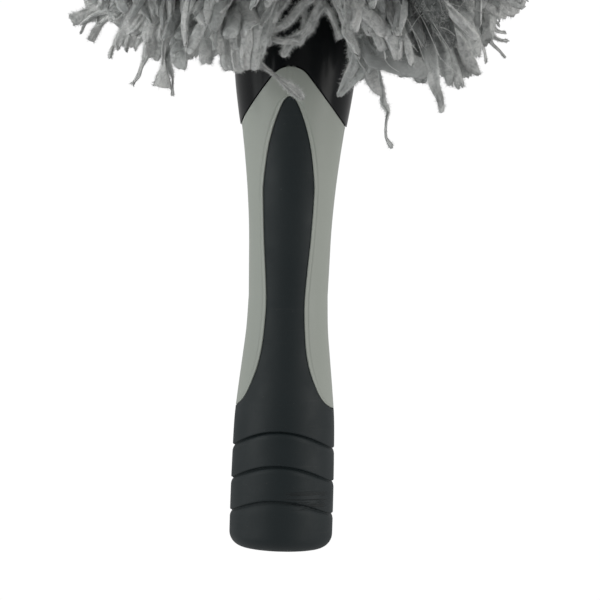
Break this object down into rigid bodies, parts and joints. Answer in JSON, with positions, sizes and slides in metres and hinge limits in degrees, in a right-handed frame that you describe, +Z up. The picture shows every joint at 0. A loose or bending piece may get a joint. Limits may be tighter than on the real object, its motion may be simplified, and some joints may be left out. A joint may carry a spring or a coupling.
{
  "type": "microfibre duster",
  "caption": "Hand duster: waisted grey and black grip with soft petals, glossy bell-shaped collar and a pull-off plume of grey microfibre strips.",
  "frame": {"origin": "centre of the flat lower end of the grip", "axes": "+Z up the grip's axis into the head; the front petal of the grip faces -Y; +X to the right seen from the front"},
  "size_m": [0.1852, 0.1853, 0.465],
  "materials": {
    "grip_grey": "satin moulded grey plastic",
    "soft_black": "matt soft-touch black",
    "gloss_black": "glossy moulded black plastic",
    "inner_plastic": "unpainted natural plastic",
    "ring_rubber": "black rubber",
    "steel": "plain steel",
    "microfibre": "fuzzy grey microfibre"
  },
  "bodies": {
    "handle": {"handle_body": "grip_grey", "soft_grip": "soft_black", "butt_plug": "inner_plastic", "collar": "gloss_black"},
    "head": {"stem": "inner_plastic", "stem_plug": "gloss_black", "plug_pin": "steel", "grip_ring": "ring_rubber", "head_flange": "inner_plastic", "tip_cap": "inner_plastic", "tip_screw": "steel", "strip_band_1": "microfibre", "strip_band_2": "microfibre", "strip_band_3": "microfibre", "strip_band_4": "microfibre", "strip_band_5": "microfibre", "strip_band_6": "microfibre", "strip_band_7": "microfibre", "strip_band_8": "microfibre"}
  },
  "joints": [
    {"name": "head_pull_off", "type": "slide", "parent": "handle", "child": "head", "axis": [0, 0, 1], "range_m": [0, 0.036]}
  ]
}
